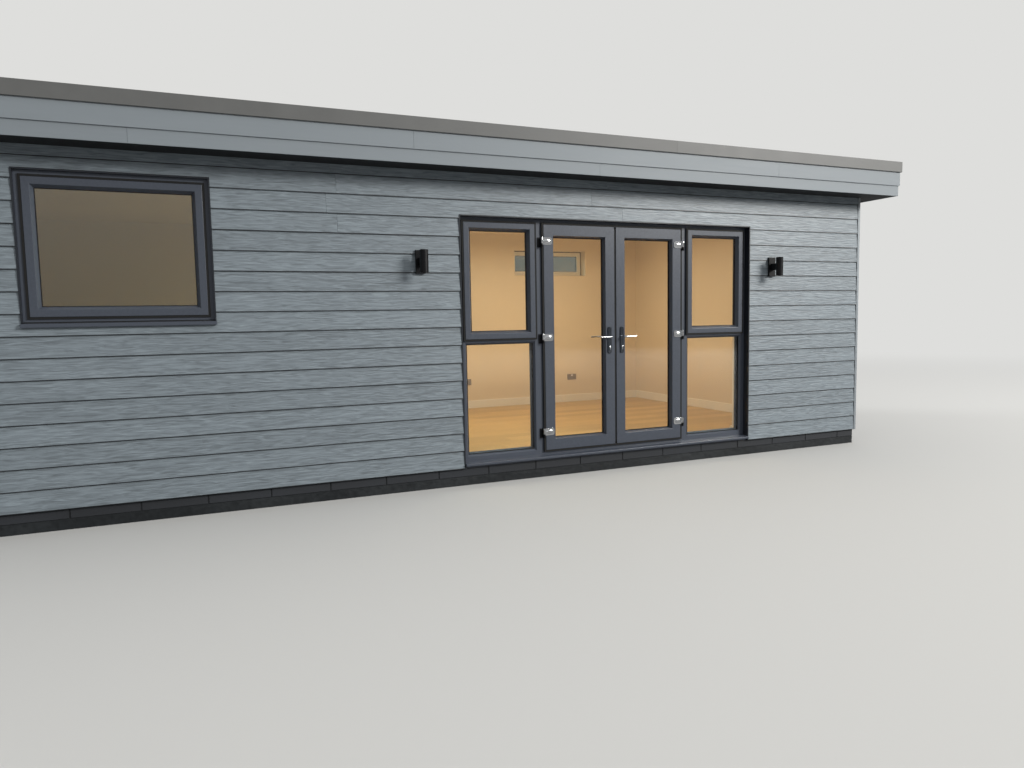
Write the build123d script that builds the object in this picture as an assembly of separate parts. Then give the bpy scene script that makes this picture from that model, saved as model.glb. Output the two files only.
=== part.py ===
from build123d import *
import os

# Garden office pod, in millimetres. X runs along the front, Y from front to back, Z up.
# The front, with the doors, faces -Y. The origin is under the middle of the roof, at the
# lowest face. Depths called "in" are counted inwards from the outer face of the cladding.

# Walls
wall_length = 9130.0          # outer faces of the cladding, corner to corner
wall_depth = 4236.0
wall_thickness = 236.0        # cladding face to plaster face
clad_thickness = 30.0         # battens and lapped boards together
course = 150.0                # height of board that shows
board_thickness = 10.0        # step at the lower edge of each board
corner_trim_width = 30.0
corner_trim_round = 4.0
board_end_gap = 4.0           # shadow gap between board ends and corner trim

# Plinth and floor
footing_height = 75.0
brick_height = 75.0
brick_width = 102.0
plinth_setback = 25.0         # brick face behind the cladding face
floor_board_thickness = 12.0
skirting_height = 108.0
skirting_thickness = 16.0

# Roof
wall_clad_height = 2475.0     # lower edge of the cladding to the soffit
roof_overhang = 275.0         # cladding face to the outer face of the roof trim
soffit_thickness = 12.0
ceiling_thickness = 12.5
fascia_lower = 103.0
fascia_upper = 137.0
fascia_thickness = 22.0
fascia_drop = 5.0             # fascia edge below the soffit
trim_height = 105.0
trim_proud = 15.0             # trim in front of the fascia
trim_flange = 90.0            # width of the trim's top
trim_wall = 6.0
kerb_height = 25.0            # trim above the membrane along the front
roof_fall = 45.0              # drop of the membrane from front to back
membrane_thickness = 5.0

# Door set: two leaves between two side lights
door_from_right_end = 3001.0  # middle of the doorway from the right-hand corner
door_width = 3023.0
door_head_below_soffit = 353.0
door_in = 66.0               # front face of the frame behind the cladding face
frame_depth = 70.0
frame_face = 54.0             # width of the outer frame's front face
frame_bottom = 194.0
nib_width = 20.0              # stop at the back of the frame
nib_depth = 10.0
mullion_face = 112.0
lip_overlap = 12.0            # leaf or sash over the frame's front face
sash_proud = 20.0             # leaf and sash face in front of the frame's face
running_gap = 5.0             # a moving leaf clear of the frame's front face
body_gap = 6.0                # a moving leaf's body clear of the frame's sides
meeting_gap = 20.0            # between the two leaves
leaf_depth = 74.0
leaf_face = 92.0
leaf_bead = 14.0
side_sash_width = 657.0
side_sash_face = 46.0
side_sash_bead = 20.0
light_bead = 16.0
light_pocket = 12.0           # recess in the posts and threshold round the lower light's beads
transom_bottom = 1215.0
transom_height = 42.0
glass_set = 38.0              # glass behind the leaf's or sash's face
glass_thickness = 24.0
glass_edge = 12.0             # glass held in the groove
liner_thickness = 10.0
liner_proud = 2.0

# Sill under the doors
sill_nose_out = 22.0
sill_nose_height = 19.0
sill_nose_drop = 6.0          # top of the nose under the frame's lower edge
sill_slope = 10.0             # rise of the sill's top from nose to frame
sill_drip_in = 20.0

# Flag hinges
hinge_from_leaf_end = 153.0   # middle of the top and bottom hinges; the third is halfway
hinge_height = 84.0
hinge_base_width = 34.0
hinge_flag_width = 101.0
hinge_flag_height = 64.0
hinge_flag_round = 20.0
hinge_plate = 5.0
knuckle_radius = 9.0
knuckle_share = 0.38          # part of the height that the fixed knuckle takes
knuckle_gap = 0.3
hinge_pin_radius = 4.0
pin_clearance = 0.25
hinge_axis_out = 10.0         # knuckle centre in front of the leaf's face
hinge_axis_side = 21.5        # knuckle centre beside the leaf's edge

# Lever handles
spindle_height = 1233.0
spindle_from_edge = 56.0
plate_width = 38.0
plate_height = 246.0
plate_thickness = 10.0
plate_round = 18.0
plate_bevel = 2.5
plate_above_spindle = 94.0
lever_length = 126.0
lever_radius = 8.0
lever_out = 52.0              # middle of the bar in front of the plate
lever_bend = 16.0
lever_clearance = 0.4
collar_rim = 1.0
collar_length = 4.0           # collar in front of the plate
spindle_size = 8.0
spindle_hole_radius = 7.0
cylinder_below_spindle = 92.0
cylinder_radius = 8.5
cylinder_leg = 17.0
cylinder_leg_width = 9.4
cylinder_proud = 4.0

# Front window
window_from_left_end = 2094.0
window_width = 1200.0
window_head_below_soffit = 165.0
window_height = 1020.0
window_in = 30.0
window_frame_face = 54.0
window_sash_face = 49.0
window_sash_bead = 20.0
window_sash_proud = 12.0
window_glass_set = 34.0
window_sill_height = 30.0
window_sill_out = 24.0
window_sill_slope = 6.0       # fall of the sill's top from frame to nose
window_sill_ears = 14.0       # sill past each side of the frame

# High window in the back wall
back_window_from_right_end = 1703.0
back_window_width = 1136.0
back_window_below_soffit = 234.0
back_window_height = 340.0
back_window_face = 56.0

# Wall lights
light_left_gap = 354.0        # middle of each light from the nearer side of the doorway
light_right_gap = 280.0
light_height = 1886.0
light_plate_width = 80.0
light_plate_height = 190.0
light_plate_thickness = 16.0
light_tube_radius = 34.0
light_tube_length = 180.0
light_tube_wall = 3.0
light_tube_recess = 12.0
light_tube_out = 118.0        # middle of the tube in front of the cladding face
light_arm_width = 34.0
light_arm_height = 64.0

# Double sockets on the back wall
sockets_from_right_end = (3057.0, 1373.0)
socket_height = 534.0
socket_width = 146.0
socket_tall = 86.0
socket_thickness = 9.0
socket_round = 4.0

# Working values
past = 1.0                    # how far a cutting shape runs past a face
least_step = 1.0              # least part of a course that is drawn

# Levels and faces worked out from the sizes above
half_length = wall_length / 2
half_depth = wall_depth / 2
clad_bottom = footing_height + brick_height
floor_top = clad_bottom + floor_board_thickness
soffit_bottom = clad_bottom + wall_clad_height
wall_top = soffit_bottom + soffit_thickness
fascia_bottom = soffit_bottom - fascia_drop
trim_bottom = fascia_bottom + fascia_lower + fascia_upper
trim_top = trim_bottom + trim_height
roof_half_length = half_length + roof_overhang
roof_half_depth = half_depth + roof_overhang
deck_half_length = roof_half_length - trim_proud - fascia_thickness
deck_half_depth = roof_half_depth - trim_proud - fascia_thickness
room_half_length = half_length - wall_thickness
room_half_depth = half_depth - wall_thickness
front_y = -half_depth
door_x = half_length - door_from_right_end
window_x = window_from_left_end - half_length
back_window_x = half_length - back_window_from_right_end
window_bottom = soffit_bottom - window_head_below_soffit - window_height
back_window_bottom = soffit_bottom - back_window_below_soffit - back_window_height

door_head = soffit_bottom - door_head_below_soffit
leaf_in = door_in - sash_proud
lip_thickness = sash_proud - running_gap
leaf_inset = lip_overlap + body_gap
leaf_bottom = frame_bottom + frame_face - lip_overlap
leaf_top = door_head - frame_face + lip_overlap
door_half = door_width / 2
side_sash_outer = door_half - frame_face + lip_overlap
side_sash_inner = side_sash_outer - side_sash_width
mullion_outer = side_sash_inner + lip_overlap
mullion_inner = mullion_outer - mullion_face
leaf_outer = mullion_inner + lip_overlap
leaf_inner = meeting_gap / 2
hinge_axis_x = leaf_outer + hinge_axis_side
hinge_axis_in = leaf_in - hinge_axis_out
hinge_heights = (
    leaf_bottom + hinge_from_leaf_end,
    (leaf_bottom + leaf_top) / 2,
    leaf_top - hinge_from_leaf_end,
)
spindle_x = leaf_inner + spindle_from_edge
light_middles = (door_x - door_half - light_left_gap, door_x + door_half + light_right_gap)


def block(x0, x1, y0, y1, z0, z1):
    """A box between two corners."""
    middle = ((x0 + x1) / 2, (y0 + y1) / 2, (z0 + z1) / 2)
    return Pos(*middle) * Box(abs(x1 - x0), abs(y1 - y0), abs(z1 - z0))


def upright_plane(x, y, z):
    """A plane that faces the front, with its own y along Z."""
    return Plane(origin=(x, y, z), x_dir=(1, 0, 0), z_dir=(0, -1, 0))


def taper(x0, x1, z0, z1, y0, y1, side):
    """A four-sided hole that narrows by side all round from y0 to y1."""
    x, z = (x0 + x1) / 2, (z0 + z1) / 2
    wide, tall = x1 - x0, z1 - z0
    near = upright_plane(x, y0, z) * Rectangle(wide, tall)
    far = upright_plane(x, y1, z) * Rectangle(wide - 2 * side, tall - 2 * side)
    return loft([near, far])


def along_x(outline, x0, x1):
    """A profile drawn as (y, z) points and drawn out from x0 to x1."""
    section = Plane(origin=(x0, 0, 0), x_dir=(0, 1, 0), z_dir=(1, 0, 0))
    return extrude(section * make_face(Polyline(outline, close=True)), amount=x1 - x0)


def rod(start, end, radius):
    """A round bar from one point to another."""
    line = Vector(*end) - Vector(*start)
    return extrude(Plane(origin=start, z_dir=line.normalized()) * Circle(radius), amount=line.length)


def glazed_ring(x0, x1, z0, z1, face_in, face, bead, insets, lip, depth, set_back):
    """A glazed frame: lip in front, body behind, bevelled bead and a groove for the glass.

    insets holds how far the body stands in from the lip at left, right, bottom and top.
    """
    left, right, bottom, top = insets
    ring = block(x0 + left, x1 - right, face_in + lip, face_in + depth, z0 + bottom, z1 - top)
    if lip:
        ring += block(x0, x1, face_in, face_in + lip, z0, z1)
    glass_in = face_in + set_back
    ring -= taper(x0 + face, x1 - face, z0 + face, z1 - face, face_in, glass_in, bead)
    side = face + bead
    ring -= block(x0 + side, x1 - side, glass_in, face_in + depth, z0 + side, z1 - side)
    groove = side - glass_edge
    ring -= block(x0 + groove, x1 - groove, glass_in, glass_in + glass_thickness, z0 + groove, z1 - groove)
    return ring


def glass_pane(x0, x1, z0, z1, face_in, face, bead, set_back):
    """The sealed unit that fills the groove of a glazed ring."""
    side = face + bead - glass_edge
    glass_in = face_in + set_back
    return block(x0 + side, x1 - side, glass_in, glass_in + glass_thickness, z0 + side, z1 - side)


def at_doors(shape):
    """Doorway pieces are drawn about the doorway's middle, with y as the depth in."""
    return Pos(door_x, front_y, 0) * shape


def both_sides(shape):
    """A piece and its mirror image about the doorway's middle."""
    return [shape, mirror(shape, about=Plane.YZ)]


def at_front(shape):
    return Pos(0, front_y, 0) * shape


def at_back(shape):
    """Turns a piece drawn with y as the depth in to the back wall."""
    return Pos(0, half_depth, 0) * mirror(shape, about=Plane.XZ)


# Base

def base_slab():
    lower_x, lower_y = half_length - plinth_setback, half_depth - plinth_setback
    upper_x, upper_y = lower_x - brick_width, lower_y - brick_width
    slab = block(-lower_x, lower_x, -lower_y, lower_y, 0, footing_height)
    return slab + block(-upper_x, upper_x, -upper_y, upper_y, footing_height, clad_bottom)


def plinth_courses():
    """Brick course round the building: long runs front and back, ends between them."""
    x, y = half_length - plinth_setback, half_depth - plinth_setback
    long_runs = [block(-x, x, s * y, s * (y - brick_width), footing_height, clad_bottom) for s in (-1, 1)]
    ends = [
        block(s * x, s * (x - brick_width), -y + brick_width, y - brick_width, footing_height, clad_bottom)
        for s in (-1, 1)
    ]
    return long_runs, ends


def floor_boards():
    x, y = room_half_length, room_half_depth
    room = block(-x, x, -y, y, clad_bottom, floor_top)
    half = door_half + liner_thickness
    threshold = block(-half, half, door_in + frame_depth, wall_thickness, clad_bottom, floor_top)
    return room + at_doors(threshold)


# Walls

def front_walls():
    """Full-height lengths of the front wall, and the pieces over and under the openings."""
    y0, y1 = front_y + clad_thickness, front_y + wall_thickness
    window_left = window_x - window_width / 2 - liner_thickness
    window_right = window_x + window_width / 2 + liner_thickness
    door_left = door_x - door_half - liner_thickness
    door_right = door_x + door_half + liner_thickness
    end = half_length - clad_thickness
    window_top = window_bottom + window_height + liner_thickness
    sill_bottom = window_bottom - window_sill_height
    piers = [
        block(-end, window_left, y0, y1, clad_bottom, wall_top),
        block(window_right, door_left, y0, y1, clad_bottom, wall_top),
        block(door_right, end, y0, y1, clad_bottom, wall_top),
    ]
    panels = [
        block(window_left, window_right, y0, y1, clad_bottom, sill_bottom),
        block(window_left, window_right, y0, y1, window_top, wall_top),
        block(door_left, door_right, y0, y1, door_head + liner_thickness, wall_top),
    ]
    return piers, panels


def back_walls():
    y0, y1 = half_depth - wall_thickness, half_depth - clad_thickness
    left = back_window_x - back_window_width / 2 - liner_thickness
    right = back_window_x + back_window_width / 2 + liner_thickness
    low = back_window_bottom - liner_thickness
    high = back_window_bottom + back_window_height + liner_thickness
    end = half_length - clad_thickness
    piers = [
        block(-end, left, y0, y1, clad_bottom, wall_top),
        block(right, end, y0, y1, clad_bottom, wall_top),
    ]
    panels = [block(left, right, y0, y1, clad_bottom, low), block(left, right, y0, y1, high, wall_top)]
    return piers, panels


def end_wall(side):
    return block(
        side * room_half_length, side * (half_length - clad_thickness),
        -room_half_depth, room_half_depth, clad_bottom, wall_top,
    )


def lapped_outline(height):
    """Section of the lapped boards, as (depth in, height) points from the lower edge up."""
    points = [(clad_thickness, 0.0), (0.0, 0.0)]
    level = course
    while level < height - least_step:
        points += [(board_thickness, level), (0.0, level)]
        level += course
    last = board_thickness * (height - level + course) / course
    return points + [(last, height), (clad_thickness, height)]


def cladding_run(length):
    """A run of lapped cladding centred on x, with y as the depth in."""
    outline = [(y, z + clad_bottom) for y, z in lapped_outline(wall_clad_height)]
    return along_x(outline, -length / 2, length / 2)


def front_cladding():
    skin = at_front(cladding_run(wall_length - 2 * (corner_trim_width + board_end_gap)))
    deep = clad_thickness + past
    half = door_half + liner_thickness
    doorway = block(-half, half, -past, deep, clad_bottom - past, door_head + liner_thickness)
    half = window_width / 2 + liner_thickness
    low, high = window_bottom - window_sill_height, window_bottom + window_height + liner_thickness
    window = block(window_x - half, window_x + half, -past, deep, low, high)
    return skin - at_doors(doorway) - at_front(window)


def back_cladding():
    skin = at_back(cladding_run(wall_length - 2 * (corner_trim_width + board_end_gap)))
    half = back_window_width / 2 + liner_thickness
    low = back_window_bottom - liner_thickness
    high = back_window_bottom + back_window_height + liner_thickness
    hole = block(back_window_x - half, back_window_x + half, -past, clad_thickness + past, low, high)
    return skin - at_back(hole)


def end_claddings():
    run = cladding_run(wall_depth - 2 * (corner_trim_width + board_end_gap))
    left = Pos(-half_length, 0, 0) * Rot(0, 0, -90) * run
    return [left, mirror(left, about=Plane.YZ)]


def corner_trims():
    trims = []
    for sx in (-1, 1):
        for sy in (-1, 1):
            x, y = sx * half_length, sy * half_depth
            trim = block(
                x, x - sx * corner_trim_width, y, y - sy * corner_trim_width, clad_bottom, soffit_bottom
            )
            edge = trim.edges().filter_by(Axis.Z).sort_by(lambda e: -abs(e.center().X) - abs(e.center().Y))[0]
            trims.append(fillet(edge, corner_trim_round))
    return trims


def skirting():
    """Board round the room, stopped at the doorway."""
    outer = block(-room_half_length, room_half_length, -room_half_depth, room_half_depth,
                  floor_top, floor_top + skirting_height)
    x, y = room_half_length - skirting_thickness, room_half_depth - skirting_thickness
    ring = outer - block(-x, x, -y, y, floor_top, floor_top + skirting_height)
    half = door_half + liner_thickness
    doorway = block(-half, half, wall_thickness - past, wall_thickness + skirting_thickness + past,
                    floor_top, floor_top + skirting_height)
    return ring - at_doors(doorway)


def sockets():
    """Double sockets: a thin plate with rounded corners for each."""
    plates = []
    y = room_half_depth
    for from_end in sockets_from_right_end:
        x = half_length - from_end
        plate = block(x - socket_width / 2, x + socket_width / 2, y - socket_thickness, y,
                      socket_height - socket_tall / 2, socket_height + socket_tall / 2)
        plates.append(fillet(plate.edges().filter_by(Axis.Y), socket_round))
    return plates


# Roof

def ceiling():
    return block(-room_half_length, room_half_length, -room_half_depth, room_half_depth,
                 wall_top - ceiling_thickness, wall_top)


def deck_level(y):
    """Top of the roof deck at a distance from front to back."""
    front_level = trim_top - kerb_height - membrane_thickness
    return front_level - roof_fall * (y + deck_half_depth) / (2 * deck_half_depth)


def roof_deck():
    y = deck_half_depth
    outline = [(-y, wall_top), (y, wall_top), (y, deck_level(y)), (-y, deck_level(-y))]
    return along_x(outline, -deck_half_length, deck_half_length)


def roof_membrane():
    """Membrane inside the raised trim, carried over the low back edge."""
    y = deck_half_depth
    t = membrane_thickness
    outline = [(-y, deck_level(-y)), (y, deck_level(y)), (y, deck_level(y) + t), (-y, deck_level(-y) + t)]
    return along_x(outline, -deck_half_length, deck_half_length)


def frame_ring(half_x, half_y, width, z0, z1):
    """A flat ring with its outer faces at half_x and half_y."""
    ring = block(-half_x, half_x, -half_y, half_y, z0, z1)
    return ring - block(-half_x + width, half_x - width, -half_y + width, half_y - width, z0, z1)


def fascia_boards():
    """Two lapped boards on every side, the upper one standing over the lower."""
    step = board_thickness
    x, y = roof_half_length - trim_proud, roof_half_depth - trim_proud
    lap = fascia_bottom + fascia_lower
    lower = frame_ring(x - step, y - step, fascia_thickness - step, fascia_bottom, lap)
    upper = frame_ring(x, y, fascia_thickness, lap, trim_bottom)
    return lower + upper


def soffit():
    x, y = half_length - clad_thickness, half_depth - clad_thickness
    outer_x, outer_y = deck_half_length, deck_half_depth
    board = block(-outer_x, outer_x, -outer_y, outer_y, soffit_bottom, wall_top)
    return board - block(-x, x, -y, y, soffit_bottom, wall_top)


def roof_trim():
    """Raised trim: a face in front of the fascia and a flange on top, low along the back."""
    x, y = roof_half_length, roof_half_depth
    back_top = deck_level(deck_half_depth) + membrane_thickness + trim_wall
    face = frame_ring(x, y, trim_proud, trim_bottom, trim_top - trim_wall)
    kerb = frame_ring(x - trim_proud, y - trim_proud, fascia_thickness, trim_bottom, trim_top - trim_wall)
    flange = frame_ring(x, y, trim_flange, trim_top - trim_wall, trim_top)
    inner_x = x - trim_flange
    back_cut = block(-inner_x, inner_x, y - trim_flange - past, y + past, back_top, trim_top + past)
    return face + kerb + flange - back_cut


# Liners of the door and window openings

def liner(x0, x1, z0, z1, depth, with_bottom):
    """Lining round an opening, from just proud of the cladding to the back of the frame."""
    t = liner_thickness
    low = z0 - t if with_bottom else z0
    ring = block(x0 - t, x1 + t, -liner_proud, depth, low, z1 + t)
    return ring - block(x0, x1, -liner_proud - past, depth + past, z0 if with_bottom else z0 - past, z1)


def reveal_liners():
    doors = liner(-door_half, door_half, clad_bottom, door_head, door_in + frame_depth, False)
    half = window_width / 2
    window = liner(window_x - half, window_x + half, window_bottom, window_bottom + window_height,
                   window_in + frame_depth, False)
    half = back_window_width / 2
    back = liner(back_window_x - half, back_window_x + half, back_window_bottom,
                 back_window_bottom + back_window_height, window_in + frame_depth, True)
    return [at_doors(doors), at_front(window), at_back(back)]


# Door set

def upright(x0, x1, nibs):
    """An upright frame member with a stop at its back on the sides named."""
    z0, z1 = frame_bottom, door_head
    post = block(x0, x1, door_in, door_in + frame_depth, z0, z1)
    nib_in = door_in + frame_depth - nib_depth
    if "left" in nibs:
        post += block(x0 - nib_width, x0, nib_in, nib_in + nib_depth, z0, z1)
    if "right" in nibs:
        post += block(x1, x1 + nib_width, nib_in, nib_in + nib_depth, z0, z1)
    return post


def side_light_size():
    """Outline of the lower light's beads, which reach into pockets in the frame."""
    left, right = mullion_outer - light_pocket, door_half - frame_face + light_pocket
    return left, right, frame_bottom + frame_face - light_pocket, transom_bottom


def light_recess():
    """The room that a lower light's beads need in front of the stops."""
    x0, x1, z0, z1 = side_light_size()
    return block(x0, x1, door_in - past, door_in + frame_depth - nib_depth, z0, z1)


def door_posts():
    """Two jambs and two mullions, with pockets for the lower lights."""
    jamb = upright(door_half - frame_face, door_half, ("left",)) - light_recess()
    mullion = upright(mullion_inner, mullion_outer, ("left", "right")) - light_recess()
    return both_sides(jamb) + both_sides(mullion)


def door_rails(posts):
    """Head, threshold and the two transoms, cut to fit between the posts."""
    nib_in = door_in + frame_depth - nib_depth
    back = door_in + frame_depth
    head_bottom = door_head - frame_face
    head = block(-door_half, door_half, door_in, back, head_bottom, door_head)
    head += block(-door_half, door_half, nib_in, back, head_bottom - nib_width, head_bottom)
    sill_top = frame_bottom + frame_face
    threshold = block(-door_half, door_half, door_in, back, frame_bottom, sill_top)
    threshold += block(-door_half, door_half, nib_in, back, sill_top, sill_top + nib_width)
    for recess in both_sides(light_recess()):
        threshold -= recess
    bottom, top = transom_bottom, transom_bottom + transom_height
    transom = block(mullion_outer, door_half - frame_face, door_in, back, bottom, top)
    transom += block(mullion_outer, door_half - frame_face, nib_in, back, bottom - nib_width, top + nib_width)
    rails = []
    for rail in [head, threshold] + both_sides(transom):
        for post in posts:
            rail = rail - post
        rails += rail.solids()
    return rails


def side_sash_size():
    bottom = transom_bottom + transom_height - lip_overlap
    return side_sash_inner, side_sash_outer, bottom, leaf_top


def side_sashes():
    """Upper casement of each side light, closed on its frame."""
    body = [lip_overlap] * 4
    depth = sash_proud + frame_depth - nib_depth
    sash = glazed_ring(*side_sash_size(), leaf_in, side_sash_face, side_sash_bead, body, sash_proud,
                       depth, glass_set)
    return both_sides(sash)


def side_beads():
    """Glazing beads of each lower side light, between frame and glass."""
    ring = glazed_ring(*side_light_size(), door_in, 0, light_bead, [0] * 4, 0, frame_depth - nib_depth,
                       glass_set - sash_proud)
    return both_sides(ring)


def side_glass():
    upper = glass_pane(*side_sash_size(), leaf_in, side_sash_face, side_sash_bead, glass_set)
    lower = glass_pane(*side_light_size(), door_in, 0, light_bead, glass_set - sash_proud)
    return both_sides(upper) + both_sides(lower)


def door_sill():
    """Sill under the doors: sloping top, square nose and a drip behind it."""
    nose_top = frame_bottom - sill_nose_drop
    back = door_in + frame_depth
    outline = [
        (-sill_nose_out, nose_top - sill_nose_height),
        (-sill_nose_out, nose_top),
        (door_in, nose_top + sill_slope),
        (door_in, frame_bottom),
        (back, frame_bottom),
        (back, clad_bottom),
        (sill_drip_in, clad_bottom),
        (sill_drip_in, nose_top - sill_nose_height),
    ]
    return along_x(outline, -door_half, door_half)


def stile_hole(z, radius):
    return rod((spindle_x, leaf_in - past, z), (spindle_x, leaf_in + leaf_depth + past, z), radius)


def door_leaf():
    """Right-hand leaf, with the spindle's hole through its meeting stile."""
    insets = (0, leaf_inset, leaf_inset, leaf_inset)
    leaf = glazed_ring(leaf_inner, leaf_outer, leaf_bottom, leaf_top, leaf_in, leaf_face, leaf_bead,
                       insets, lip_thickness, leaf_depth, glass_set)
    return leaf - stile_hole(spindle_height, spindle_hole_radius)


def door_glass():
    return glass_pane(leaf_inner, leaf_outer, leaf_bottom, leaf_top, leaf_in, leaf_face, leaf_bead, glass_set)


def handle_plate(face_in, outwards):
    """Back plate with round ends, a neck hole and the lock's key cylinder."""
    top = spindle_height + plate_above_spindle
    middle = top - plate_height / 2
    outer = face_in + outwards * plate_thickness
    y0 = min(face_in, outer)
    plate = block(spindle_x - plate_width / 2, spindle_x + plate_width / 2, y0, y0 + plate_thickness,
                  middle - plate_height / 2, middle + plate_height / 2)
    plate = fillet(plate.edges().filter_by(Axis.Y), plate_round)
    rim = plate.faces().sort_by(Axis.Y)[0 if outwards < 0 else -1].edges()
    plate = chamfer(rim, plate_bevel)
    near = (spindle_x, y0 - past, spindle_height)
    far = (spindle_x, y0 + plate_thickness + past, spindle_height)
    hole = rod(near, far, lever_radius + collar_rim + lever_clearance)
    low = spindle_height - cylinder_below_spindle
    start, end = sorted((face_in, outer + outwards * cylinder_proud))
    lock = rod((spindle_x, start, low), (spindle_x, end, low), cylinder_radius)
    lock += block(spindle_x - cylinder_leg_width / 2, spindle_x + cylinder_leg_width / 2, start, end,
                  low - cylinder_leg, low)
    return plate - hole + lock


def handle_plates():
    return [handle_plate(leaf_in, -1), handle_plate(leaf_in + leaf_depth, 1)]


def lever(face_in, outwards):
    """Lever: neck out of the plate, round bend, and a bar that ends in a dome."""
    neck_start = face_in + outwards * lever_clearance
    bar_in = face_in + outwards * (plate_thickness + lever_out)
    z = spindle_height
    turn = bar_in - outwards * lever_bend
    bar_end = spindle_x + lever_length - lever_radius
    neck = Line((spindle_x, neck_start, z), (spindle_x, turn, z))
    bend = TangentArc((spindle_x, turn, z), (spindle_x + lever_bend, bar_in, z), tangent=(0, outwards, 0))
    bar = Line((spindle_x + lever_bend, bar_in, z), (bar_end, bar_in, z))
    section = Plane(origin=(spindle_x, neck_start, z), z_dir=(0, outwards, 0)) * Circle(lever_radius)
    shape = sweep(section, path=neck + bend + bar)
    shape += Pos(bar_end, bar_in, z) * Sphere(lever_radius)
    collar_end = face_in + outwards * (plate_thickness + collar_length)
    collar = rod((spindle_x, neck_start, z), (spindle_x, collar_end, z), lever_radius + collar_rim)
    return shape + collar


def lever_pair():
    """Outer and inner lever on one square spindle."""
    outer = lever(leaf_in, -1)
    inner = lever(leaf_in + leaf_depth, 1)
    half = spindle_size / 2
    spindle = block(spindle_x - half, spindle_x + half, leaf_in - lever_clearance,
                    leaf_in + leaf_depth + lever_clearance, spindle_height - half, spindle_height + half)
    return outer + spindle + inner


def hinge_base(z):
    """Fixed half of a flag hinge: plate on the mullion, arm, lower knuckle and pin."""
    low, high = z - hinge_height / 2, z + hinge_height / 2
    split = low + hinge_height * knuckle_share
    x, y = hinge_axis_x, hinge_axis_in
    plate = block(x, x + hinge_base_width, door_in - hinge_plate, door_in, low, high)
    arm = block(x, x + knuckle_radius, y, door_in - hinge_plate, low, split)
    knuckle = rod((x, y, low), (x, y, split), knuckle_radius)
    pin = rod((x, y, split), (x, y, high - hinge_plate), hinge_pin_radius)
    return plate + arm + knuckle + pin


def hinge_flag(z):
    """Moving half: upper knuckle on the pin and a flag with a round end on the leaf's face."""
    low, high = z - hinge_height / 2, z + hinge_height / 2
    split = low + hinge_height * knuckle_share + knuckle_gap
    x, y = hinge_axis_x, hinge_axis_in
    knuckle = rod((x, y, split), (x, y, high), knuckle_radius)
    end = x - hinge_flag_width
    flag_low = high - hinge_flag_height
    plate = block(end, x - knuckle_radius, leaf_in - hinge_plate, leaf_in, flag_low, high)
    round_edges = plate.edges().filter_by(Axis.Y).group_by(Axis.X)[0]
    plate = fillet(round_edges, hinge_flag_round)
    neck = block(x - knuckle_radius * 2, x, y - hinge_plate / 2, y + hinge_plate / 2, split, high)
    web = block(x - knuckle_radius * 2, x - knuckle_radius, y - hinge_plate / 2, leaf_in, split, high)
    flag = plate + knuckle + neck + web
    bore_top = high - hinge_plate + pin_clearance
    return flag - rod((x, y, split - past), (x, y, bore_top), hinge_pin_radius + pin_clearance)


# Windows

def window_box():
    half = window_width / 2
    return window_x - half, window_x + half, window_bottom, window_bottom + window_height


def window_sash_box():
    x0, x1, z0, z1 = window_box()
    show = window_frame_face - lip_overlap
    return x0 + show, x1 - show, z0 + show, z1 - show


def front_window_frame():
    x0, x1, z0, z1 = window_box()
    frame = block(x0, x1, window_in, window_in + frame_depth, z0, z1)
    f = window_frame_face
    frame -= block(x0 + f, x1 - f, window_in, window_in + frame_depth - nib_depth, z0 + f, z1 - f)
    f += nib_width
    return frame - block(x0 + f, x1 - f, window_in, window_in + frame_depth, z0 + f, z1 - f)


def window_sash():
    face_in = window_in - window_sash_proud
    depth = window_sash_proud + frame_depth - nib_depth
    return glazed_ring(*window_sash_box(), face_in, window_sash_face, window_sash_bead,
                       [lip_overlap] * 4, window_sash_proud, depth, window_glass_set)


def window_sill():
    """Sill under the front window: sloping top and a square nose."""
    x0, x1, z0, z1 = window_box()
    back = window_in + frame_depth
    low = z0 - window_sill_height
    nose_top = z0 - window_sill_slope
    wall_side = z0 - window_sill_slope * (window_in + liner_proud) / (window_in + window_sill_out)
    front_face = [(-window_sill_out, low), (-window_sill_out, nose_top)]
    body = along_x(front_face + [(window_in, z0), (back, z0), (back, low)],
                   x0 - liner_thickness, x1 + liner_thickness)
    nose = along_x(front_face + [(-liner_proud, wall_side), (-liner_proud, low)],
                   x0 - window_sill_ears, x1 + window_sill_ears)
    return body + nose


def back_window_box():
    half = back_window_width / 2
    return (back_window_x - half, back_window_x + half, back_window_bottom,
            back_window_bottom + back_window_height)


def back_window_frame():
    face = back_window_face - window_sash_bead
    return glazed_ring(*back_window_box(), window_in, face, window_sash_bead, [0] * 4, 0, frame_depth,
                       window_glass_set - window_sash_proud)


def window_glass():
    face_in = window_in - window_sash_proud
    front = glass_pane(*window_sash_box(), face_in, window_sash_face, window_sash_bead, window_glass_set)
    back = glass_pane(*back_window_box(), window_in, back_window_face - window_sash_bead, window_sash_bead,
                      window_glass_set - window_sash_proud)
    return [at_front(front), at_back(back)]


# Wall lights

def wall_light(x):
    """Up and down light: plate on the wall, arm and a tube open at both ends."""
    z = light_height
    y = -light_tube_out
    half = light_plate_height / 2
    plate = block(x - light_plate_width / 2, x + light_plate_width / 2, -light_plate_thickness, 0,
                  z - half, z + half)
    arm = block(x - light_arm_width / 2, x + light_arm_width / 2, y, -light_plate_thickness,
                z - light_arm_height / 2, z + light_arm_height / 2)
    low, high = z - light_tube_length / 2, z + light_tube_length / 2
    tube = rod((x, y, low), (x, y, high), light_tube_radius)
    bore = light_tube_radius - light_tube_wall
    light = plate + arm + tube
    light -= rod((x, y, low), (x, y, low + light_tube_recess), bore)
    return light - rod((x, y, high - light_tube_recess), (x, y, high), bore)


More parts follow.
